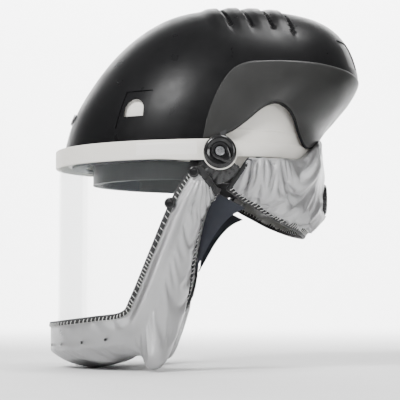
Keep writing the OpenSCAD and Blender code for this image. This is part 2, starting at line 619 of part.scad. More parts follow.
// s runs from the wearer's left pivot (0) under the chin (0.5) to the right pivot (1).
function seal_point(s, t) = let (f = curve(across(SEAL_FRONT), s), g = curve(across(SEAL_RIM), s),
    r = curve(across(SEAL_REAR), s), b = curve(across(BELLY), s) + lobe(s), v = (t - 0.25) / 0.75)
    t < 0.25 ? f + (g - f) * t / 0.25 : bezier(g, g + (r - g) * 0.3 + b, r + (g - r) * 0.3 + b, r, v);
seal_run = [for (i = [0:56]) i / 56];
SEAL_T = [0, 0.12, 0.25, 0.34, 0.45, 0.58, 0.72, 0.86, 1];
module face_seal() color([0.72, 0.72, 0.73])
    sheet([for (s = seal_run) [for (t = SEAL_T) seal_point(s, t)]], 1.6);
module seal_edge(t, r) tube([for (s = seal_run) seal_point(s, t)], r);
module seal_front_edge() color([0.05, 0.05, 0.05]) seal_edge(0, 1.9);
module seal_rear_edge() color([0.05, 0.05, 0.05]) seal_edge(1, 2.3);
// Fastenings along the chin.
module chin_studs() color([0.05, 0.05, 0.05]) for (s = [0.36, 0.4, 0.44, 0.47, 0.53, 0.56, 0.6, 0.64])
    let (p = seal_point(s, 0.2)) translate(p) rotate([0, 90, atan2(p[1], p[0])])
        translate([0, 0, 0.6]) cylinder(r = 1.3, h = 1);

// The dark stretch panel between the elastic edge and the ear.
LINER_REAR = [[84, 22, -47], [81, 12, -52], [77, 3, -60], [73, -6, -72], [70, -15, -88], [68, -22, -100]];
module temple_liners() color([0.13, 0.14, 0.18]) pair() {
    g = [for (i = [0:14]) let (u = i / 14, r = curve(across(SEAL_REAR), 0.025 + u * 0.19) + [-1.4, 2.6, -1])
        [for (j = [0:3]) r + (curve(spaced(LINER_REAR), u) - r) * j / 3]];
    sheet(g, 1.2);
}

// The neck cape, from the wearer's left front corner to the middle of the back.
CAPE_TOP = [[103, 25, -4], [100, 42, -4], [91, 57, -4], [75, 69, -3], [55.6, 80.2, 7], [30, 88, 18.2],
    [0, 90.8, 23.5]];
CAPE_HEM = [[89, 6, -30], [84, 19, -39], [79, 33, -47], [71, 47, -55], [57, 62, -62], [33, 74, -67],
    [0, 79, -69]];
CAPE_BELLY = [[4, 0, 0], [9, 2, 0], [15, 8, 0], [20, 16, -2], [17, 25, -2], [9, 30, -3], [0, 32, -4]];
function cape_point(s, t) = let (a = curve(across(CAPE_TOP), s), c = curve(across(CAPE_HEM), s),
    b = curve(across(CAPE_BELLY), s)) bezier(a, a + (c - a) * 0.2 + b, a + (c - a) * 0.55 + b * 0.45, c, t);
cape_run = [for (i = [0:32]) i / 32];
module knob_hole(r) translate([0, 60, nape_z]) rotate([-90, 0, 0]) cylinder(r = r, h = 70);
module neck_cape() color([0.72, 0.72, 0.73]) one_mesh() difference() {
    sheet([for (s = cape_run) [for (j = [0:8]) cape_point(s, j / 8)]], 1.6);
    knob_hole(17);
}
module cape_hem() color([0.05, 0.05, 0.05]) tube([for (s = cape_run) cape_point(s, 1)], 2.3);
module cape_front_edges() color([0.05, 0.05, 0.05]) pair()
    tube([for (j = [0:10]) cape_point(0, 0.05 + 0.85 * j / 10) + [0.4, -1.6, 0]], 2.2);

top_cover();
side_panel();  // side_panel_left
mirror([1, 0, 0]) side_panel();  // side_panel_right
front_badge();
base_shell();
air_duct();
brow_seal();
fan_housing();
fan_lid();
fan_screws();
motor();
motor_shaft();
impeller();
filter_frame();  // filter_left_frame
filter_pleats();  // filter_left_pleats
mirror([1, 0, 0]) filter_frame();  // filter_right_frame
mirror([1, 0, 0]) filter_pleats();  // filter_right_pleats
filter_gaskets();
battery_case();
battery_cells();
battery_strap();
circuit_board();
wiring_loom();
switch_housing();
switch_rocker();
charge_socket();
charge_cap();
cover_catch();  // cover_catch_left
mirror([1, 0, 0]) cover_catch();  // cover_catch_right
headband();
sweatband();
crown_straps();
crown_pad();
harness_clips();
nape_housing();
nape_pad();
color([0.6, 0.6, 0.6]) rack(1);  // nape_rack_left
color([0.6, 0.6, 0.6]) rack(-1);  // nape_rack_right
ratchet_pinion();
ratchet_knob();
pivot_bushes();
pivot_washers();
pivot_flaps();
pivot_screws();
pivot_knob();  // pivot_knob_left
mirror([1, 0, 0]) pivot_knob();  // pivot_knob_right
visor_frame();
visor_lens();
lens_snaps();
chin_studs();
face_seal();
seal_front_edge();
seal_rear_edge();
temple_liners();
neck_cape();
cape_hem();
cape_front_edges();
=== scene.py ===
import json
import math
import random

import bmesh
import bpy
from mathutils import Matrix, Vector


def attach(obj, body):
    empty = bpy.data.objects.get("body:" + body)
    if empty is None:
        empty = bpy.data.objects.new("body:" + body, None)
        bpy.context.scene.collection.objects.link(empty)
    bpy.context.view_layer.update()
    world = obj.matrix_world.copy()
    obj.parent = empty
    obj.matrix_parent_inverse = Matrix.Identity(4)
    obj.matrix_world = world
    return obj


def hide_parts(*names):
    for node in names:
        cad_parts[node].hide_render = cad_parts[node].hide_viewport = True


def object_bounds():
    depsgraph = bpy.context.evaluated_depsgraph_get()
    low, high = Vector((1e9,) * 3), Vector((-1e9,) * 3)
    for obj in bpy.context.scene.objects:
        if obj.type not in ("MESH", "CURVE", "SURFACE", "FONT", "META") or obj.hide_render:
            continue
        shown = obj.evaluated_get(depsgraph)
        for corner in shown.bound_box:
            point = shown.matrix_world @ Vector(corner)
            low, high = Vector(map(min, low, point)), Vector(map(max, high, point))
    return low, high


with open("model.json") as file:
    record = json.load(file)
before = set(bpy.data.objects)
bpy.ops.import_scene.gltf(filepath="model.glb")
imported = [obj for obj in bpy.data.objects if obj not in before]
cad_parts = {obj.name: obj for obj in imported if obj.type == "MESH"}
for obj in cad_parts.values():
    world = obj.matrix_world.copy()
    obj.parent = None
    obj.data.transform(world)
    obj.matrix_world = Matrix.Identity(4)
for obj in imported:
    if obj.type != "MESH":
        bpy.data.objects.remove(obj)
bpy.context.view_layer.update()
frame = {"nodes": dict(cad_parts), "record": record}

random.seed(7)
MM = 0.001
V = Vector


# ---- curves, shared with the CAD: everything here is in millimetres ----

def curve(tab, q):
    """Smooth curve through a table of [position, value]; a value may be a vector."""
    i = 0
    while i < len(tab) - 2 and q >= tab[i + 1][0]:
        i += 1

    def slope(k):
        a, b = max(k - 1, 0), min(k + 1, len(tab) - 1)
        return (tab[b][1] - tab[a][1]) * (1 / (tab[b][0] - tab[a][0]))

    h = tab[i + 1][0] - tab[i][0]
    s = (q - tab[i][0]) / h
    return (tab[i][1] * (2 * s**3 - 3 * s**2 + 1) + slope(i) * h * (s**3 - 2 * s**2 + s)
            + tab[i + 1][1] * (3 * s**2 - 2 * s**3) + slope(i + 1) * h * (s**3 - s**2))


def spaced(points):
    return [[i / (len(points) - 1), V(p)] for i, p in enumerate(points)]


def across(points):
    return spaced(points + [(-p[0], p[1], p[2]) for p in points[-2::-1]])


def bezier(a, b, c, d, t):
    return a * (1 - t)**3 + b * 3 * t * (1 - t)**2 + c * 3 * t * t * (1 - t) + d * t**3


def step(a, b, x):
    s = max(0, min(1, (x - a) / (b - a)))
    return s * s * (3 - 2 * s)


CROWN_H, HALF_W, CROWN_Y = 147, 105, 12
FRONT = [[0, 12], [0.09, -14], [0.17, -37], [0.35, -68], [0.54, -98], [0.7, -121], [0.85, -140], [1, -151]]
BACK = [[0, 12], [0.12, 47], [0.24, 83], [0.35, 104], [0.5, 121], [0.64, 129.5], [0.7, 130], [0.77, 123],
        [0.85, 107.5], [0.9, 97], [1, 92]]
EDGE = [[-90, 10], [-25, 10.5], [-8, 12.5], [3, 19], [10, 29], [17, 41], [23, 46], [29, 42.5], [35, 33],
        [41, 19], [46, 10.5], [50, 8.5], [56, 10.5], [68, 19], [80, 27], [90, 29]]
PANEL_TOP = [[-10, 20], [-9, 38], [-7, 54], [-4, 67], [0, 76], [5, 81], [12, 83.5], [40, 84.5], [60, 81],
             [75, 77], [90, 72]]


def dome(phi, z, k=1, rear=1000):
    """A point of the dome at an angle from the side and a height; k shrinks the whole dome."""
    u = max(0, min(1, z / k / CROWN_H))
    q = math.sqrt(1 - u)
    y0 = CROWN_Y * (1 - q) + 52 * q * q * (1 - q)
    w = HALF_W * (1 - u**2.25)**(1 / 2.25)
    c, s = math.cos(math.radians(phi)), math.sin(math.radians(phi))
    reach = y0 - curve(FRONT, q) if s < 0 else min(curve(BACK, q), rear / k) - y0
    n = 2.2 + 0.2 * s
    r = (abs(c / w)**n + abs(s / reach)**n)**(-1 / n)
    return V((k * r * c, k * (y0 + r * s), z))


def edge_z(phi):
    return curve(EDGE, math.degrees(math.asin(math.sin(math.radians(phi)))))


# ---- meshes ----

def piece(name, verts, faces, body, mat, slot=None, node=(), smooth=40):
    me = bpy.data.meshes.new(name)
    me.from_pydata([V(v) * MM for v in verts], [], faces)
    bm = bmesh.new()
    bm.from_mesh(me)
    bmesh.ops.recalc_face_normals(bm, faces=bm.faces)
    bm.to_mesh(me)
    bm.free()
    o = bpy.data.objects.new(name, me)
    bpy.context.collection.objects.link(o)
    me.materials.append(mat)
    shade(o, smooth)
    if body:
        settle(o, body, node)
    return o


def shade(o, angle):
    """Smooth shading, with edges sharper than the angle kept crisp."""
    bm = bmesh.new()
    bm.from_mesh(o.data)
    for f in bm.faces:
        f.smooth = True
    for e in bm.edges:
        e.smooth = len(e.link_faces) != 2 or e.calc_face_angle(0) < math.radians(angle)
    bm.to_mesh(o.data)
    bm.free()


def settle(o, body, node=()):
    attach(o, body)
    if node:
        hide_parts(*([node] if isinstance(node, str) else node))


def between(outer, inner, around=False, crown=False):
    """Vertices and faces of a closed solid between two grids."""
    n, m = len(outer), len(outer[0])
    verts = [p for col in outer for p in col] + [p for col in inner for p in col]
    cols = range(n if around else n - 1)
    faces = []

    def o(i, j):
        return (i % n) * m + j

    for i in cols:
        for j in range(m - 1):
            a = [o(i, j), o(i + 1, j), o(i + 1, j + 1), o(i, j + 1)]
            faces += [a, [n * m + k for k in reversed(a)]]
        faces.append([o(i + 1, 0), o(i, 0), n * m + o(i, 0), n * m + o(i + 1, 0)])
        if not crown:
            faces.append([o(i, m - 1), o(i + 1, m - 1), n * m + o(i + 1, m - 1), n * m + o(i, m - 1)])
    if crown:
        for k, grid in ((0, outer), (n * m, inner)):
            top = len(verts)
            verts.append(V((0, CROWN_Y, max(c[-1][2] for c in grid) + 0.05)))
            faces += [[k + o(i, m - 1), k + o(i + 1, m - 1), top] for i in cols]
    if not around:
        for j in range(m - 1):
            for i in (0, n - 1):
                faces.append([o(i, j), o(i, j + 1), n * m + o(i, j + 1), n * m + o(i, j)])
    return verts, faces


def normals(g):
    n, m = len(g), len(g[0])
    return [[(g[min(i + 1, n - 1)][j] - g[max(i - 1, 0)][j]).cross(
        g[i][min(j + 1, m - 1)] - g[i][max(j - 1, 0)]).normalized() for j in range(m)] for i in range(n)]


def swept(rings, closed=False):
    """A skin over rings of equal length, capped at both ends unless closed."""
    n, m = len(rings), len(rings[0])
    verts = [p for r in rings for p in r]
    faces = [[i % n * m + k, i % n * m + (k + 1) % m, (i + 1) % n * m + (k + 1) % m, (i + 1) % n * m + k]
             for i in range(n if closed else n - 1) for k in range(m)]
    if not closed:
        faces += [list(range(m)), [n * m - 1 - k for k in range(m)]]
    return verts, faces


def ribbon(path, across_dirs, width, thick, sides=10, power=3.0, closed=False):
    """A flat strip with rounded edges along a path; across_dirs point across its width."""
    n = len(path)
    rings = []
    for i, p in enumerate(path):
        along = (path[(i + 1) % n if closed else min(i + 1, n - 1)]
                 - path[i - 1 if closed or i else 0]).normalized()
        a = across_dirs[i]
        a = (a - along * a.dot(along)).normalized()
        b = along.cross(a)
        ring = []
        for k in range(sides):
            t = 2 * math.pi * (k + 0.5) / sides
            c, s = math.cos(t), math.sin(t)
            r = (abs(c)**power + abs(s)**power)**(-1 / power)
            ring.append(p + a * (width / 2 * r * c) + b * (thick / 2 * r * s))
        rings.append(ring)
    return swept(rings, closed)


def lathe(profile, sides=64, frame_at=None):
    """A turned shape about the X axis from a profile of (distance along X, radius)."""
    rings = [[V((x, r * math.cos(2 * math.pi * k / sides), r * math.sin(2 * math.pi * k / sides)))
              for k in range(sides)] for x, r in profile]
    verts, faces = swept(rings)
    if frame_at:
        verts = [frame_at(v) for v in verts]
    return verts, faces


def merged(*parts):
    verts, faces = [], []
    for v, f in parts:
        faces += [[len(verts) + i for i in face] for face in f]
        verts += v
    return verts, faces


def mirrored(part):
    return [V((-v[0], v[1], v[2])) for v in part[0]], [list(reversed(f)) for f in part[1]]


def both(part):
    return merged(part, mirrored(part))


def cut(o, *tools):
    for t in tools:
        m = o.modifiers.new("cut", "BOOLEAN")
        m.operation, m.solver, m.object = "DIFFERENCE", "EXACT", t
    apply(o)
    for t in tools:
        bpy.data.objects.remove(t)
    return o


def apply(o):
    dg = bpy.context.evaluated_depsgraph_get()
    me = bpy.data.meshes.new_from_object(o.evaluated_get(dg))
    o.modifiers.clear()
    o.data = me
    return o


def soften(name, nodes, body, mat, voxel=2.0, rounds=6, swell=0.0):
    """A soft copy of CAD solids: remeshed, rounded and slightly swollen."""
    bm = bmesh.new()
    for n in nodes:
        bm.from_mesh(frame["nodes"][n].data)
    me = bpy.data.meshes.new(name)
    bm.to_mesh(me)
    bm.free()
    o = bpy.data.objects.new(name, me)
    bpy.context.collection.objects.link(o)
    r = o.modifiers.new("r", "REMESH")
    r.mode, r.voxel_size = "VOXEL", voxel * MM
    s = o.modifiers.new("s", "SMOOTH")
    s.factor, s.iterations = 0.5, rounds
    if swell:
        d = o.modifiers.new("d", "DISPLACE")
        d.strength, d.mid_level = swell * MM, 0
    apply(o)
    o.data.materials.clear()
    o.data.materials.append(mat)
    shade(o, 80)
    settle(o, body, nodes)
    return o


# ---- materials ----

def material(name, color, rough=0.5, metal=0.0, vary=0.06, grain=600.0, bump=0.05, weave=0.0, sheen=0.0,
             coat=0.0, wear=0.0, alpha=1.0, spec=0.5, weave_hollow_shade=0.0):
    """Colour that varies a little, roughness that smudges, moulded grain or weave with painted shade in the weave's
    hollows, and worn edges.
    """
    m = bpy.data.materials.new(name)
    m.use_nodes = True
    nt = m.node_tree
    b = nt.nodes["Principled BSDF"]
    b.inputs["Metallic"].default_value = metal
    b.inputs["Coat Weight"].default_value = coat
    b.inputs["Coat Roughness"].default_value = 0.08
    b.inputs["Sheen Weight"].default_value = sheen
    b.inputs["Sheen Roughness"].default_value = 0.4
    b.inputs["Specular IOR Level"].default_value = spec
    tc = nt.nodes.new("ShaderNodeTexCoord")

    def noise(scale, detail=4.0):
        n = nt.nodes.new("ShaderNodeTexNoise")
        n.inputs["Scale"].default_value = scale
        n.inputs["Detail"].default_value = detail
        nt.links.new(tc.outputs["Object"], n.inputs["Vector"])
        return n.outputs["Fac"]

    def ramp(src, lo, hi, a, b2):
        r = nt.nodes.new("ShaderNodeMapRange")
        for key, val in (("From Min", lo), ("From Max", hi), ("To Min", a), ("To Max", b2)):
            r.inputs[key].default_value = val
        nt.links.new(src, r.inputs["Value"])
        return r.outputs["Result"]

    def mix(fac, a, b2, mode="MIX"):
        x = nt.nodes.new("ShaderNodeMix")
        x.data_type, x.blend_type = "RGBA", mode
        for k, val in ((0, fac), (6, a), (7, b2)):
            if hasattr(val, "is_linked"):
                nt.links.new(val, x.inputs[k])
            else:
                x.inputs[k].default_value = val
        return x.outputs[2]

    light = [min(1, c * (1 + vary) + vary * 0.02) for c in color] + [1]
    dark = [c * (1 - vary) for c in color] + [1]
    col = mix(ramp(noise(22), 0.3, 0.7, 0, 1), dark, light)
    height = None
    if weave:
        waves = []
        for axis in ("DIAGONAL", "Z"):
            w = nt.nodes.new("ShaderNodeTexWave")
            w.wave_type, w.bands_direction = "BANDS", axis
            w.inputs["Scale"].default_value = 314 / weave
            w.inputs["Distortion"].default_value = 0.6
            nt.links.new(tc.outputs["Object"], w.inputs["Vector"])
            waves.append(w.outputs["Fac"])
        mx = nt.nodes.new("ShaderNodeMath")
        mx.operation = "MULTIPLY"
        nt.links.new(waves[0], mx.inputs[0])
        nt.links.new(waves[1], mx.inputs[1])
        height = mx.outputs[0]
        # Painted shade: the colour is darkened in the weave's hollows, where the bump height is low.
        if weave_hollow_shade:
            col = mix(ramp(height, 0, 1, weave_hollow_shade, 0), col, dark[:3] + [1], "MULTIPLY")
    if wear:
        g = nt.nodes.new("ShaderNodeNewGeometry")
        edge = ramp(g.outputs["Pointiness"], 0.53, 0.6, 0, wear)
        col = mix(edge, col, [min(1, c + 0.18) for c in color] + [1])
    nt.links.new(col, b.inputs["Base Color"])
    nt.links.new(ramp(noise(60), 0.25, 0.75, max(0.03, rough - 0.07), min(1, rough + 0.07)), b.inputs["Roughness"])
    bp = nt.nodes.new("ShaderNodeBump")
    bp.inputs["Strength"].default_value = bump if not weave else 0.35
    bp.inputs["Distance"].default_value = 0.0003
    nt.links.new(height or noise(grain, 2), bp.inputs["Height"])
    nt.links.new(bp.outputs["Normal"], b.inputs["Normal"])
    return m


def clear_sheet(name):
    m = bpy.data.materials.new(name)
    m.use_nodes = True
    nt = m.node_tree
    b = nt.nodes["Principled BSDF"]
    b.inputs["Base Color"].default_value = (0.55, 0.6, 0.6, 1)
    b.inputs["Transmission Weight"].default_value = 0.0
    b.inputs["Roughness"].default_value = 0.04
    b.inputs["IOR"].default_value = 1.49
    lw = nt.nodes.new("ShaderNodeLayerWeight")
    lw.inputs["Blend"].default_value = 0.25
    mr = nt.nodes.new("ShaderNodeMapRange")
    for key, val in (("From Min", 0.0), ("From Max", 1.0), ("To Min", 0.015), ("To Max", 0.26)):
        mr.inputs[key].default_value = val
    nt.links.new(lw.outputs["Fresnel"], mr.inputs["Value"])
    nt.links.new(mr.outputs["Result"], b.inputs["Alpha"])
    n = nt.nodes.new("ShaderNodeTexNoise")
    n.inputs["Scale"].default_value = 9
    bp = nt.nodes.new("ShaderNodeBump")
    bp.inputs["Strength"].default_value = 0.03
    bp.inputs["Distance"].default_value = 0.001
    nt.links.new(n.outputs["Fac"], bp.inputs["Height"])
    nt.links.new(bp.outputs["Normal"], b.inputs["Normal"])
    return m


SHELL = material("shell_black", (0.006, 0.006, 0.0065), rough=0.32, vary=0.04, grain=900, bump=0.05, wear=0.0,
                 spec=0.1)
PANEL = material("panel_grey", (0.020, 0.020, 0.0195), rough=0.4, vary=0.05, grain=700, bump=0.12, wear=0.12,
                 spec=0.3)
BADGE = material("badge_grey", (0.30, 0.30, 0.31), rough=0.3, metal=0.4, grain=900)
WHITE = material("base_white", (0.76, 0.735, 0.68), rough=0.42, vary=0.03, grain=650, bump=0.1, wear=0.1)
LABEL = material("blank_label", (0.84, 0.82, 0.78), rough=0.35, vary=0.02, grain=1500)
GREY = material("duct_grey", (0.12, 0.12, 0.125), rough=0.5, vary=0.1, grain=500, bump=0.15)
RUBBER = material("foam_black", (0.025, 0.025, 0.027), rough=0.75, vary=0.15, grain=900, bump=0.4)
STEEL = material("steel", (0.62, 0.63, 0.65), rough=0.28, metal=1.0, vary=0.05, grain=1500, bump=0.05)
PLASTIC = material("black_plastic", (0.012, 0.012, 0.013), rough=0.45, vary=0.12, grain=700, bump=0.15, wear=0.1,
                   spec=0.3)
KNOB = material("knob_black", (0.007, 0.007, 0.0075), rough=0.2, vary=0.15, grain=900, bump=0.03, wear=0.1, coat=0.15,
                spec=0.35)
FILTER = material("filter_white", (0.8, 0.8, 0.79), rough=0.5, vary=0.03)
PAPER = material("filter_paper", (0.86, 0.86, 0.83), rough=0.9, vary=0.05, grain=1800, bump=0.4)
BATTERY = material("battery_blue", (0.04, 0.1, 0.26), rough=0.3, vary=0.06, coat=0.3)
CELL = material("cell_green", (0.24, 0.36, 0.16), rough=0.25, coat=0.4)
BOARD = material("board_green", (0.02, 0.16, 0.07), rough=0.35, vary=0.1, coat=0.4)
WIRE = material("wire_red", (0.4, 0.03, 0.025), rough=0.4)
RED = material("switch_red", (0.5, 0.03, 0.02), rough=0.22, coat=0.4, wear=0.2)
WEB = material("webbing", (0.03, 0.03, 0.033), rough=0.8, weave=1.4, sheen=0.3, weave_hollow_shade=0.5)
NAVY = material("pad_navy", (0.019, 0.022, 0.034), rough=0.85, weave=1.0, sheen=0.35, vary=0.12,
                weave_hollow_shade=0.4)
SILVER = material("fabric_silver", (0.47, 0.47, 0.475), rough=0.34, metal=0.95, weave=0.25, sheen=0.05,
                  vary=0.04, weave_hollow_shade=0.15)
SATIN = material("satin_black", (0.014, 0.014, 0.015), rough=0.24, weave=0.8, sheen=0.1, vary=0.1, coat=0.15)
EDGING = material("edge_black", (0.010, 0.010, 0.011), rough=0.7, weave=0.9, sheen=0.2, vary=0.15,
                  weave_hollow_shade=0.4)
THREAD = material("thread_white", (0.78, 0.78, 0.76), rough=0.7, vary=0.05, grain=2500, bump=0.4)
CLEAR = clear_sheet("visor_clear")

BY_SLOT = {
    "shell_black": SHELL, "panel_grey": PANEL, "badge_grey": BADGE, "base_white": WHITE, "duct_grey": GREY,
    "foam_black": RUBBER, "steel": STEEL, "wheel_black": PLASTIC, "filter_white": FILTER, "filter_paper": PAPER,
    "battery_blue": BATTERY, "cell_green": CELL, "webbing": WEB, "board_green": BOARD, "wire_red": WIRE,
    "switch_black": PLASTIC, "switch_red": RED, "catch_white": WHITE, "band_black": PLASTIC, "pad_navy": NAVY,
    "knob_black": KNOB, "bush_grey": GREY, "frame_white": WHITE, "visor_clear": CLEAR, "snap_black": KNOB,
    "fabric_silver": SILVER, "edge_black": EDGING}
for sub in frame["record"]["subparts"]:
    for ms in frame["nodes"][sub["node"]].material_slots:
        ms.material = BY_SLOT[sub["material_slot"]]


# ---- cover ----

def crest(p):
    """How far the ribs stand out of the crown, and the slots sink between their ends."""
    if p[2] < 60:
        return 0
    x = abs(p[0])
    y = p[1] - 14 * (x / 68)**2
    h = slot = 0
    for i in range(4):
        d = y + 11 - 19 * i
        h = max(h, step(-11.5, -1, d) * step(7.2, 4.8, d))
        slot = max(slot, step(1.9, 1.1, abs(d - 8.3)))
    return 2.2 * h * step(76, 50, x) - 2.2 * slot * step(26, 40, x) * step(68, 63, x)


def cover_grid(k, cols=360, rows=130, ribs=False):
    grid = []
    for i in range(cols):
        phi = -90 + 360 * i / cols
        low = edge_z(phi)
        grid.append([dome(phi, low + (CROWN_H * 0.9999 - low) * (1 - (1 - j / rows)**2)) * k
                     for j in range(rows + 1)])
    if ribs:
        for col in grid:
            for j, p in enumerate(col):
                h = crest(p)
                if h:
                    col[j] = p + (p - V((0, CROWN_Y, 20))).normalized() * h
    return grid


def patch(phi0, phi1, z0, z1, inner, outer, side=1, n=10):
    """A cutter that follows the dome between two angles and two heights."""
    def g(k):
        return [[dome(phi0 + (phi1 - phi0) * i / n, z0 + (z1 - z0) * j / n) * k for j in range(n + 1)]
                for i in range(n + 1)]
    part = between(g(outer), g(inner))
    return piece("cutter", *(part if side > 0 else mirrored(part)), None, SHELL)


def window(side):
    """The D-shaped window over a catch."""
    turn = math.radians(-27)
    outline = [(-10, -7.5), (10, -7.5)] + [(10 * math.cos(a), -1.5 + 10 * math.sin(a))
                                           for a in (math.pi * k / 20 for k in range(21))]
    rings = []
    for d in (60, 130):
        rings.append([V((d * math.cos(turn) - y * math.sin(turn), -34.7 + d * math.sin(turn) + y * math.cos(turn),
                         43 + z)) for y, z in outline])
    part = swept(rings)
    return piece("cutter", *(part if side > 0 else mirrored(part)), None, SHELL)


cover = piece("cover_skin", *between(cover_grid(1, ribs=True), cover_grid(1 - 2.4 / HALF_W), True, True),
              None, SHELL)
cut(cover, *[patch(-51.4, -38.4, 25, 59, 0.990, 1.03, s) for s in (1, -1)], *[window(s) for s in (1, -1)],
    *[patch(66, 80, 86, 112, 0.992, 1.03, s) for s in (1, -1)])
shade(cover, 30)
settle(cover, "cover", "top_cover")


def raised(points, low, high, rim=0.12):
    """Outer and inner grids of a thin plate whose outside rounds over at its edges; points(u, v, k)."""
    n, m = 150, 40

    def u(i):
        return i / n

    outer = []
    for i in range(n + 1):
        col = []
        for j in range(m + 1):
            e = min(u(i), 1 - u(i)) * 9, min(j / m, 1 - j / m) * 5
            round_over = math.sqrt(max(0, 1 - (1 - min(1, e[0] / rim))**2)) * math.sqrt(
                max(0, 1 - (1 - min(1, e[1] / rim))**2))
            col.append(points(u(i), j / m, low + (high - low) * (0.25 + 0.75 * round_over)))
        outer.append(col)
    inner = [[points(u(i), j / m, low) for j in range(m + 1)] for i in range(n + 1)]
    return between(outer, inner)


def side_panel(u, v, k):
    phi = -9.6 + 95.6 * u**1.5
    low, high = edge_z(phi) + 0.6, curve(PANEL_TOP, phi)
    return dome(phi, low + (high - low) * v) * k


panel = raised(side_panel, 1.0035, 1.0118)
piece("panel_left_skin", *panel, "cover", PANEL, "panel_grey", "side_panel_left", 50)
piece("panel_right_skin", *mirrored(panel), "cover", PANEL, "panel_grey", "side_panel_right", 50)
badge = raised(lambda u, v, k: dome(-98 + 16 * u, 43 + (v - 0.5) * 10.4
                                    * math.sqrt(max(0.04, 1 - (2 * u - 1)**2))) * k,
               1.003, 1.0135)
piece("front_badge_skin", *badge, "cover", BADGE, "badge_grey", "front_badge", 50)

# ---- base ----

BASE_ROWS = [[-2, 0], [-1, -0.2], [2, -0.2], [8.8, -0.2], [10, 0], [10.8, 1.2], [11.2, 1.4], [20.6, 1.4], [21, 1.1],
             [22, 1.1], [22.4, 1.5], [34, 1.6], [46, 2], [56, 3], [60, 4.5], [62.6, 7.5], [64, 12]]


def base_grid(t, cols=240):
    grid = []
    for i in range(cols):
        col = []
        for z, s in BASE_ROWS:
            p = dome(-90 + 360 * i / cols, z, 0.955, 89)
            s += t
            col.append(V((p[0] * (1 - s / 100), p[1] * (1 - s / 120), z - (t * (z - 50) / 14 if z > 50 else 0))))
        grid.append(col)
    return grid


def block(low, high):
    verts = [V((x, y, z)) for x in (low[0], high[0]) for y in (low[1], high[1]) for z in (low[2], high[2])]
    return verts, [[0, 1, 3, 2], [4, 6, 7, 5], [0, 4, 5, 1], [2, 3, 7, 6], [0, 2, 6, 4], [1, 5, 7, 3]]


def tool(part):
    return piece("cutter", *part, None, WHITE)


base = piece("base_skin", *between(base_grid(0), base_grid(2.4), True, True), None, WHITE)
cut(base, tool(block((8, -97, 50), (28, -83, 80))), tool(block((-109.5, 35.6, 15.6), (-72.5, 52.4, 28.4))),
    tool(lathe([(-114, 5.3), (-79, 5.3)], 48, lambda v: v + V((0, 27, 4)))),
    tool(lathe([(80, 3.4), (120, 3.4)])), tool(mirrored(lathe([(80, 3.4), (120, 3.4)]))))
shade(base, 30)
settle(base, "helmet", "base_shell")

# ---- visor ----

BW, BF = 112.0, 156.5


def band_ring(t, w_out, a_out, thick, low, high, r=1.3):
    """A rounded section of the brow band where the ellipse's angle is t."""
    out = V((w_out * math.cos(t), a_out * math.sin(t), 0))
    inn = V(((w_out - thick) * math.cos(t), (a_out - thick) * math.sin(t), 0))
    d = (out - inn).normalized()
    ring = []
    for cx, cz, a0 in ((1, 1, 0), (0, 1, 90), (0, 0, 180), (1, 0, 270)):
        for k in range(4):
            a = math.radians(a0 + 30 * k)
            base_p = (out if cx else inn) - d * (r if cx else -r)
            ring.append(base_p + d * (r * math.cos(a)) + V((0, 0, (high - r if cz else low + r) + r * math.sin(a))))
    return ring


def band_low(y):
    return -5 - 1.5 * step(-60, -25, y)


band_end = math.asin(8 / BF)
rings = []
for i in range(181):
    t = math.pi + band_end + (math.pi - 2 * band_end) * i / 180
    rings.append(band_ring(t, BW, BF, 3.0, band_low(BF * math.sin(t)), 12))
collar = lathe([(108.4, 8.0), (108.4, 14.4), (109.2, 15.2), (111.2, 15.2), (112, 14.4), (112, 8.0)])
collar = collar[0], collar[1][:-2] + [[k, (k + 1) % 64, 5 * 64 + (k + 1) % 64, 5 * 64 + k] for k in range(64)]
piece("visor_band", *merged(swept(rings), both(collar)), "visor", WHITE, "frame_white", "visor_frame", 40)


def on_band(y, z, out):
    x = (BW + out) * math.sqrt(1 - (y / (BF + out))**2)
    return V((x, y, z))


label = [[on_band(-74 + 54 * i / 40, -1.5 + 11 * j / 8, 0.35 if 0 < i < 40 and 0 < j < 8 else 0.05)
          for j in range(9)] for i in range(41)]
label_back = [[on_band(-74 + 54 * i / 40, -1.5 + 11 * j / 8, -0.4) for j in range(9)] for i in range(41)]
piece("blank_label", *between(label, label_back), "visor", LABEL, "frame_white", (), 50)

LW, LA = BW - 3.3, BF - 3.3


def lens_rear(z):
    pts = [(-14, -27), (-40, -37), (-88, -56), (-132, -73), (-146, -84), (-153, -110), (-157, -153)]
    if z >= pts[0][0]:
        return pts[0][1]
    for (z0, y0), (z1, y1) in zip(pts, pts[1:]):
        if z >= z1:
            return y0 + (y1 - y0) * (z0 - z) / (z0 - z1)
    return pts[-1][1]


def lens_grid(out):
    grid = []
    for i in range(161):
        s = 2 * i / 160 - 1
        col = []
        for j in range(61):
            z = 8 - (8 + 156) * j / 60
            y_end = lens_rear(z)
            t_end = math.acos(-y_end / LA)
            t = t_end * s
            col.append(V(((LW + out) * math.sin(t), -(LA + out) * math.cos(t), z)))
        grid.append(col)
    return grid


piece("visor_sheet", *between(lens_grid(0), lens_grid(-1.5)), "visor", CLEAR, "visor_clear", "visor_lens", 40)

# ---- face seal ----

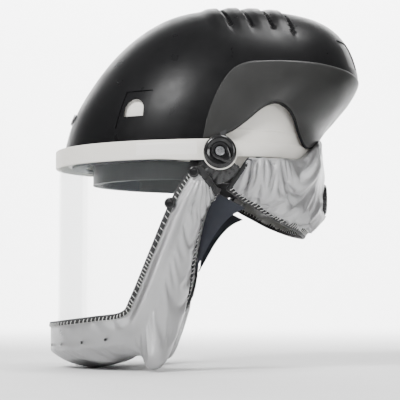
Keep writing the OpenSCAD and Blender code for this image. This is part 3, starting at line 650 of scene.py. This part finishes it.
SEAL_FRONT = across([(110.3, -17, -12), (109.3, -27, -17), (106.5, -43, -43), (101.9, -60, -83), (95.8, -78, -126),
                     (91.4, -87, -139), (76.5, -113, -143), (46, -144, -147), (0, -160.5, -149)])
SEAL_RIM = across([(107.6, -8, -24), (106.8, -15, -33), (105.4, -28, -52), (103.6, -43, -94), (99.4, -60, -141),
                   (94, -74, -162), (78.5, -108, -169), (47, -143, -173), (0, -160, -175)])
SEAL_REAR = across([(92.4, 0, -31), (88, -8, -39), (82, -15, -52), (72, -22, -82), (66, -26, -112), (60, -37, -140),
                    (50, -52, -160), (30, -66, -171), (0, -72, -175)])
BELLY = across([(1, 0, -3), (3, 0, -4), (6, -1, -4), (8, -3, -6), (6, -4, -12), (-6, -12, -21), (-12, -18, -18),
                (-8, -10, -13), (0, -6, -11)])
LOBE = V((10, -2, -42))          # how far the slack corner of the seal hangs out and down
RIM_T = 0.25                     # where the seal folds over the visor's rim


def seal_point(s, t):
    f, g, r, b = (curve(tab, s) for tab in (SEAL_FRONT, SEAL_RIM, SEAL_REAR, BELLY))
    if t < RIM_T:
        return f + (g - f) * (t / RIM_T)
    lobe = LOBE * math.exp(-((min(s, 1 - s) * 2 - 0.54) / 0.056)**2)
    b = b + V((lobe[0] * (1 if s < 0.5 else -1), lobe[1], lobe[2]))
    v = (t - RIM_T) / (1 - RIM_T)
    return bezier(g, g + (r - g) * 0.3 + b, r + (g - r) * 0.3 + b, r, v)


def wave(x):
    return math.sin(2 * math.pi * x)


def pleat(x):
    """Rounded ridges with sharp creases between them."""
    return 2 * abs(math.cos(math.pi * x))**0.7 - 1.2


def ridge(p, a, b, width, height):
    """A fold along the line from a to b, which fades at both ends."""
    d = (b[0] - a[0], b[1] - a[1])
    k = ((p[0] - a[0]) * d[0] + (p[1] - a[1]) * d[1]) / (d[0]**2 + d[1]**2)
    if not 0 < k < 1:
        return 0
    off = math.hypot(p[0] - a[0] - k * d[0], p[1] - a[1] - k * d[1])
    return height * math.exp(-(off / width)**2) * step(0, 0.25, k) * step(1, 0.7, k)


def seal_folds(s, t):
    """Pleats that fan down from the upper snap, long soft folds down the cheek and gathers at the elastic."""
    u = min(s, 1 - s) * 2
    over = 0.45 * t / RIM_T if t < RIM_T else 0.45 + 0.55 * (t - RIM_T) / (1 - RIM_T)
    fan = math.atan2(over - 0.12, 3.0 * u + 0.03)
    top = 1.1 * (pleat(5.0 * fan) + 1.2) * step(0.0, 0.05, u) * step(0.36, 0.12, u) * step(0.04, 0.14, t)
    cheek = 2.7 * (wave(2.1 * over - 0.35 + 0.25 * u) + 1) * step(0.08, 0.25, u)
    cheek *= step(0.74, 0.6, u) * step(0.03, 0.16, t)
    gather = 1.2 * pleat(26 * u - 2 * t + 0.5 * wave(2.7 * u)) * step(0.62, 0.88, t) * step(0.12, 0.3, u)
    chin = 1.4 * abs(wave(8 * u + 1.2 * t)) * step(0.60, 0.68, u) * step(0.96, 0.8, u) * step(0.03, 0.07, t)
    sag = 2.0 * wave(5 * u + 0.8 * t) * step(0.62, 0.72, u) * step(0.3, 0.45, t)
    return top + cheek + gather + chin * step(0.2, 0.1, t) + sag


def cape_folds(s, t):
    """Gathers that fan up and back from the elastic, and a few large folds across the side."""
    u = min(s, 1 - s) * 2
    lean = u - 0.5 * (1 - t)
    fine = 1.5 * pleat(15 * lean + 0.4 * wave(2.1 * u)) * step(0.70, 0.88, t) * step(0.04, 0.12, u)
    coarse = 3.0 * pleat(6.5 * lean + 0.2 * wave(1.7 * u)) * step(0.38, 0.75, t) * step(0.26, 0.42, u)
    p = (u, 0.6 * t)
    # Each fold is [from, to, width, height]; the negative one is a valley.
    large = sum(ridge(p, *fold) for fold in (
        ((0.03, -0.1), (0.16, 0.62), 0.035, 5.0), ((0.16, -0.1), (0.42, 0.45), 0.04, 6.0),
        ((0.86, -0.1), (0.40, 0.36), 0.08, -9.0), ((0.36, 0.40), (0.70, 0.2), 0.03, 2.6),
        ((1.04, 0.1), (0.62, 0.5), 0.06, 3.0), ((0.22, 0.35), (0.30, 0.62), 0.025, 2.5)))
    return fine + coarse + large


def cloth_grid(point, n, m, folds, free):
    """A grid of cloth with its folds pressed in, none along its sewn edges."""
    g = [[point(i / n, j / m) for j in range(m + 1)] for i in range(n + 1)]
    nn = normals(g)
    return [[g[i][j] + nn[i][j] * folds(i / n, j / m) * free(i / n, j / m) for j in range(m + 1)]
            for i in range(n + 1)]


def seal_free(s, t):
    return step(0.97, 0.89, t) * step(0.0, 0.02, s) * step(1.0, 0.98, s)


def cape_free(s, t):
    return step(0.0, 0.06, t) * step(0.96, 0.88, t) * step(0.0, 0.02, s) * step(1.0, 0.98, s)


def sheet_object(name, g, held, sim, frames=26, grow=0.05, gravity=1.0):
    """A single-layer cloth, simulated where it isn't held, as vertices in a grid."""
    n, m = len(g) - 1, len(g[0]) - 1
    verts = [p * MM for col in g for p in col]
    faces = [[i * (m + 1) + j, (i + 1) * (m + 1) + j, (i + 1) * (m + 1) + j + 1, i * (m + 1) + j + 1]
             for i in range(n) for j in range(m)]
    me = bpy.data.meshes.new(name)
    me.from_pydata(verts, [], faces)
    o = bpy.data.objects.new(name, me)
    bpy.context.collection.objects.link(o)
    if sim:
        vg = o.vertex_groups.new(name="held")
        for i in range(n + 1):
            for j in range(m + 1):
                w = held(i / n, j / m)
                if w > 0:
                    vg.add([i * (m + 1) + j], w, "REPLACE")
        c = o.modifiers.new("cloth", "CLOTH")
        c.settings.quality = 6
        c.settings.mass = 0.2
        c.settings.tension_stiffness = 12
        c.settings.compression_stiffness = 12
        c.settings.bending_stiffness = 0.3
        c.settings.shrink_min = -grow
        c.settings.vertex_group_mass = "held"
        c.settings.pin_stiffness = 1
        c.settings.effector_weights.gravity = gravity
        c.collision_settings.use_collision = False
        c.collision_settings.use_self_collision = False
        c.point_cache.frame_start, c.point_cache.frame_end = 1, frames
        scene = bpy.context.scene
        for f in range(1, frames + 1):
            scene.frame_set(f)
        apply(o)
        scene.frame_set(1)
    out = [v.co / MM for v in o.data.vertices]
    bpy.data.objects.remove(o)
    for i, p in enumerate(out):
        old = g[i // (m + 1)][i % (m + 1)]
        d = p - old
        if d.length > 7:
            out[i] = old + d * (7 / d.length)
    return [[out[i * (m + 1) + j] for j in range(m + 1)] for i in range(n + 1)]


def cloth_piece(name, g, thick, body, mat, slot, node, side=1):
    nn = normals(g)
    inner = [[g[i][j] - nn[i][j] * thick * side for j in range(len(g[0]))] for i in range(len(g))]
    return piece(name, *between(g, inner), body, mat, slot, node, 70)


def seal_held(s, t):
    return max(step(0.30, 0.22, t), step(0.93, 0.99, t), step(0.03, 0.0, s), step(0.97, 1.0, s))


def cape_held(s, t):
    return max(step(0.10, 0.02, t), step(0.92, 0.99, t), step(0.03, 0.0, s), step(0.97, 1.0, s))


seal = sheet_object("seal_cloth", cloth_grid(seal_point, 260, 56, seal_folds, seal_free), seal_held, True,
                    grow=0.03)
seal_skin = cloth_piece("face_seal_cloth", seal, 0.9, "visor", SILVER, "fabric_silver", "face_seal")

CAPE_TOP = across([(103, 25, -4), (100, 42, -4), (91, 57, -4), (75, 69, -3), (55.6, 80.2, 7), (30, 88, 18.2),
                   (0, 90.8, 23.5)])
CAPE_HEM = across([(89, 6, -30), (84, 19, -39), (79, 33, -47), (71, 47, -55), (57, 62, -62), (33, 74, -67),
                   (0, 79, -69)])
CAPE_BELLY = across([(4, 0, 0), (9, 2, 0), (15, 8, 0), (20, 16, -2), (17, 25, -2), (9, 30, -3), (0, 32, -4)])


def cape_point(s, t):
    a, c, b = (curve(tab, s) for tab in (CAPE_TOP, CAPE_HEM, CAPE_BELLY))
    return bezier(a, a + (c - a) * 0.2 + b, a + (c - a) * 0.55 + b * 0.45, c, t)


cape = sheet_object("cape_cloth", cloth_grid(cape_point, 240, 46, cape_folds, cape_free), cape_held, True,
                    grow=0.03)


def holed_cloth(name, g, thick, body, mat, node, centre, r):
    """A sheet with a round hole about an axis along Y, gathered to the hole's rim."""
    m = len(g[0])
    verts = [V(p) for col in g for p in col]

    def inside(k):
        return verts[k][1] > 60 and math.hypot(verts[k][0] - centre[0], verts[k][2] - centre[1]) < r

    faces = [[i * m + j, (i + 1) * m + j, (i + 1) * m + j + 1, i * m + j + 1]
             for i in range(len(g) - 1) for j in range(m - 1)]
    faces = [f for f in faces if not all(inside(k) for k in f)]
    for k in {k for f in faces for k in f if inside(k)}:
        off = V((verts[k][0] - centre[0], 0, verts[k][2] - centre[1]))
        verts[k] += off * (r / max(off.length, 0.1) - 1)
    used = sorted({k for f in faces for k in f})
    index = {k: n for n, k in enumerate(used)}
    me = bpy.data.meshes.new(name)
    me.from_pydata([verts[k] * MM for k in used], [], [[index[k] for k in f] for f in faces])
    o = bpy.data.objects.new(name, me)
    bpy.context.collection.objects.link(o)
    me.materials.append(mat)
    s = o.modifiers.new("thickness", "SOLIDIFY")
    s.thickness, s.offset = thick * MM, -1
    apply(o)
    shade(o, 70)
    settle(o, body, node)
    return o


cape_skin = holed_cloth("neck_cape_cloth", cape, 0.9, "helmet", SILVER, "neck_cape",
                        (0, -33), 16)


# ---- bound edges with overlock stitches ----

def edging(name, path, inward, width, body, slot, node, thick=2.0, pitch=2.9, sew=True):
    """A folded strip over a cloth's edge, and slanted stitches from its middle onto the cloth."""
    n = len(path)
    dirs = []
    for i in range(n):
        along = (path[min(i + 1, n - 1)] - path[max(i - 1, 0)]).normalized()
        a = (inward[i] - along * inward[i].dot(along)).normalized()
        dirs.append((along, a, along.cross(a)))
    mid = [p + dirs[i][1] * (width * 0.32) for i, p in enumerate(path)]
    piece(name, *ribbon(mid, inward, width, thick, 12, 3.5), body, EDGING, slot, node, 60)
    if not sew:
        return
    threads = []
    dist = 0.0
    for i in range(1, n):
        dist += (mid[i] - mid[i - 1]).length
        if dist < pitch:
            continue
        dist = 0.0
        along, a, up = dirs[i]
        lean = 0.5 + 0.5 * random.random()
        for side in (1, -1):
            q = mid[i] + up * side * (thick / 2)
            p0, p1 = q - a * (width * 0.12) - along * lean, q + a * (width * 0.62) + along * lean
            pm = (p0 + p1) / 2 + up * side * 0.3
            p1 -= up * side * (thick * 0.3)
            threads.append(ribbon([p0, pm, p1], [along] * 3, 0.5, 0.45, 6, 2.0))
    piece(name + "_stitches", *merged(*threads), body, THREAD, slot, (), 60)


def grid_edge(g, j, inner_j):
    return [col[j] for col in g], [col[inner_j] - col[j] for col in g]


def grid_end(g, i, inner_i):
    return list(g[i]), [g[inner_i][j] - g[i][j] for j in range(len(g[i]))]


edging("seal_front_hem", *grid_edge(seal, 0, 5), 4.6, "visor", "edge_black", "seal_front_edge")
edging("seal_rear_hem", *grid_edge(seal, -1, -5), 6.4, "visor", "edge_black", "seal_rear_edge", 2.6)
edging("seal_top_hem_left", *grid_end(seal, 0, 4), 6.5, "visor", "edge_black", (), 2.6, sew=False)
edging("seal_top_hem_right", *grid_end(seal, -1, -5), 6.5, "visor", "edge_black", (), 2.6, sew=False)
edging("cape_hem_strip", *grid_edge(cape, -1, -5), 7.0, "helmet", "edge_black", "cape_hem", 2.4)
edging("cape_end_hem_left", *grid_end(cape, 0, 4), 4.5, "helmet", "edge_black", "cape_front_edges", 2.4, sew=False)
edging("cape_end_hem_right", *grid_end(cape, -1, -5), 4.5, "helmet", "edge_black", (), 2.4, sew=False)


def flap_point(i, j, rows):
    """The soft flap round the underside of a pivot, pulled into creases by the knob."""
    u, v = i / 64, j / rows
    a = math.radians(205 + 120 * u)
    far = 27 - 6 * abs(2 * u - 1)
    r = 15.2 + (far - 15.2) * v
    crease = 0.9 * pleat(7 * u + 0.5 * v) * step(0.05, 0.5, v) * step(0, 0.06, u) * step(1, 0.94, u)
    return V((106.8 - 0.04 * (r - 15)**2 + crease, r * math.cos(a), r * math.sin(a)))


flap = [[flap_point(i, j, 10) for j in range(11)] for i in range(65)]
flap_part = between(flap, [[p - V((1.1, 0, 0)) for p in col] for col in flap])
piece("pivot_flap_left", *flap_part, "helmet", SATIN, "edge_black", "pivot_flaps", 60)
piece("pivot_flap_right", *mirrored(flap_part), "helmet", SATIN, "edge_black", (), 60)

# ---- soft pieces inside ----

sweat = soften("sweatband_pad", ["sweatband"], "helmet", NAVY, 1.4, 5, 0.0)
crown_pad = soften("crown_cushion", ["crown_pad"], "helmet", NAVY, 1.4, 8, 0.2)
nape_pad = soften("nape_cushion", ["nape_pad"], "helmet", NAVY, 1.4, 8, 0.2)
soften("crown_webbing", ["crown_straps"], "helmet", WEB, 1.0, 2)
soften("battery_webbing", ["battery_strap"], "helmet", WEB, 0.8, 2)
soften("brow_foam", ["brow_seal"], "helmet", RUBBER, 1.1, 3)
soften("filter_foam", ["filter_gaskets"], "helmet", RUBBER, 0.8, 2)

LINER_REAR = spaced([(84, 22, -47), (81, 12, -52), (77, 3, -60), (73, -6, -72), (70, -15, -88), (68, -22, -100)])
liner = []
for i in range(41):
    u = i / 40
    r = curve(SEAL_REAR, 0.025 + u * 0.19) + V((-1.4, 2.6, -1))
    liner.append([r + (curve(LINER_REAR, u) - r) * (j / 12) + V((1.2, 0, 0)) * math.sin(math.pi * j / 12)
                  for j in range(13)])
liner_left = cloth_piece("temple_liner_left", liner, 1.0, "visor", NAVY, "pad_navy", "temple_liners")
liner_right = piece("temple_liner_right", *mirrored(between(
    liner, [[p - q for p, q in zip(a, b)] for a, b in zip(liner, normals(liner))])), "visor", NAVY, "pad_navy")


# ---- knobs, screws and snaps ----

def knob_parts():
    body = lathe([(112.4, 3.1), (112.4, 13.6), (112.9, 14.3), (118.9, 14.3), (120.2, 13.5), (120.9, 12.4),
                  (121.0, 11.4), (120.6, 10.9), (120.6, 3.1)], 72)
    outline = []
    for k in range(48):
        a = 2 * math.pi * k / 48
        r = 7.7 + 4.9 * math.exp(-((math.degrees(a) - 313 + 180) % 360 - 180)**2 / 900)
        outline.append((r * math.cos(a), r * math.sin(a)))
    wing = [[V((x, y * f, z * f)) for y, z in outline] for x, f in
            ((120.4, 1.0), (122.9, 1.0), (123.7, 0.94), (123.95, 0.84), (123.95, 0.62), (122.4, 0.58))]
    return merged(body, swept(wing))


def screw_parts():
    prof = [(118.0, 3.0), (122.2, 3.0), (122.2, 4.1), (123.1, 4.1), (123.6, 3.5), (123.6, 1.9)]
    head = lathe(prof, 40)
    hexa = [[V((x, r * math.cos(math.pi * k / 3), r * math.sin(math.pi * k / 3))) for k in range(6)]
            for x, r in ((123.62, 1.9), (121.9, 1.85))]
    return merged((head[0], head[1][:-1]), swept(hexa))


knob = knob_parts()
piece("clamp_knob_left", *knob, "knob_left", KNOB, "knob_black", "pivot_knob_left", 40)
piece("clamp_knob_right", *mirrored(knob), "knob_right", KNOB, "knob_black", "pivot_knob_right", 40)
piece("pivot_screw_heads", *both(screw_parts()), "helmet", STEEL, "steel", (), 35)


def lens_x(y, g=0.0):
    return (LW + g) * math.sqrt(max(0, 1 - (y / (LA + g))**2))


def snap(y, z):
    turn = math.atan2(y * (LW / LA)**2, lens_x(y))

    def at(v):
        return V((v[0] * math.cos(turn) - v[1] * math.sin(turn), v[0] * math.sin(turn) + v[1] * math.cos(turn), v[2])
                 ) + V((lens_x(y, 1), y, z))
    return lathe([(-3.0, 1.8), (1.8, 1.8), (1.8, 4.6), (2.6, 5.0), (3.4, 4.9), (4.2, 4.1), (4.5, 3.0), (4.2, 2.2),
                  (4.2, 0.3)], 36, at)


piece("seal_snaps", *both(merged(snap(-22.5, -17), snap(-43, -44))), "visor", KNOB, "snap_black", "lens_snaps", 40)

# ---- stage, light and camera ----

low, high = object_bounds()
floor_z = low[2] - 0.0005
cove = [math.pi / 2 * k / 12 for k in range(13)]
profile = ([(-3, 3.0, 0)] + [(-3, -2.2 - 0.9 * math.sin(a), 0.9 * (1 - math.cos(a))) for a in cove]
           + [(-3, -3.1, 4)])
fm = bpy.data.meshes.new("floor")
rows = [[(p[1], x, floor_z + p[2]) for x in (-4, 4)] for p in profile]
fm.from_pydata([v for r in rows for v in r], [],
               [[2 * i, 2 * i + 1, 2 * i + 3, 2 * i + 2] for i in range(len(rows) - 1)])
for poly in fm.polygons:
    poly.use_smooth = True
floor = bpy.data.objects.new("floor", fm)
bpy.context.collection.objects.link(floor)
fm.materials.append(material("floor", (0.74, 0.74, 0.74), rough=0.8, vary=0.01, bump=0.0))

# A studio that is bright overhead and dimmer around the sides.
world = bpy.data.worlds.new("studio")
bpy.context.scene.world = world
world.use_nodes = True
wn = world.node_tree
coord = wn.nodes.new("ShaderNodeTexCoord")
split = wn.nodes.new("ShaderNodeSeparateXYZ")
sky = wn.nodes.new("ShaderNodeMapRange")
for key, val in (("From Min", 0.0), ("From Max", 0.7), ("To Min", 0.07), ("To Max", 0.5)):
    sky.inputs[key].default_value = val
wn.links.new(coord.outputs["Generated"], split.inputs["Vector"])
wn.links.new(split.outputs["Z"], sky.inputs["Value"])
wn.links.new(sky.outputs["Result"], wn.nodes["Background"].inputs["Strength"])
wn.nodes["Background"].inputs["Color"].default_value = (1, 1, 1, 1)


def area_light(name, place, target, size, power):
    data = bpy.data.lights.new(name, "AREA")
    data.shape, data.size, data.energy = "DISK", size, power
    o = bpy.data.objects.new(name, data)
    bpy.context.collection.objects.link(o)
    o.location = place
    o.rotation_euler = (V(target) - V(place)).to_track_quat("-Z", "Y").to_euler()


area_light("key", (1.3, -1.0, 1.3), (0, 0, 0), 0.55, 58)
area_light("fill", (1.5, 0.9, 0.3), (0, 0, 0), 0.5, 9)
area_light("top", (0.0, 0.5, 1.9), (0, 0, 0), 0.7, 30)
for side in (-1, 1):
    area_light("backdrop", (-1.2, 0.9 * side, 1.9), (-2.9, 0.9 * side, 1.2), 1.2, 290)

cam_data = bpy.data.cameras.new("camera")
cam = bpy.data.objects.new("camera", cam_data)
bpy.context.collection.objects.link(cam)
aim = V((0, -0.0195, -0.033))
tilt, turn, far = math.radians(4.4), math.radians(1.1), 1.25
cam.location = aim + V((math.cos(tilt) * math.cos(turn), math.sin(turn), -math.sin(tilt))) * far
cam.rotation_euler = (aim - cam.location).to_track_quat("-Z", "Y").to_euler()
cam_data.sensor_width = 36
cam_data.lens = 118.4
cam_data.clip_start, cam_data.clip_end = 0.01, 50
bpy.context.scene.camera = cam
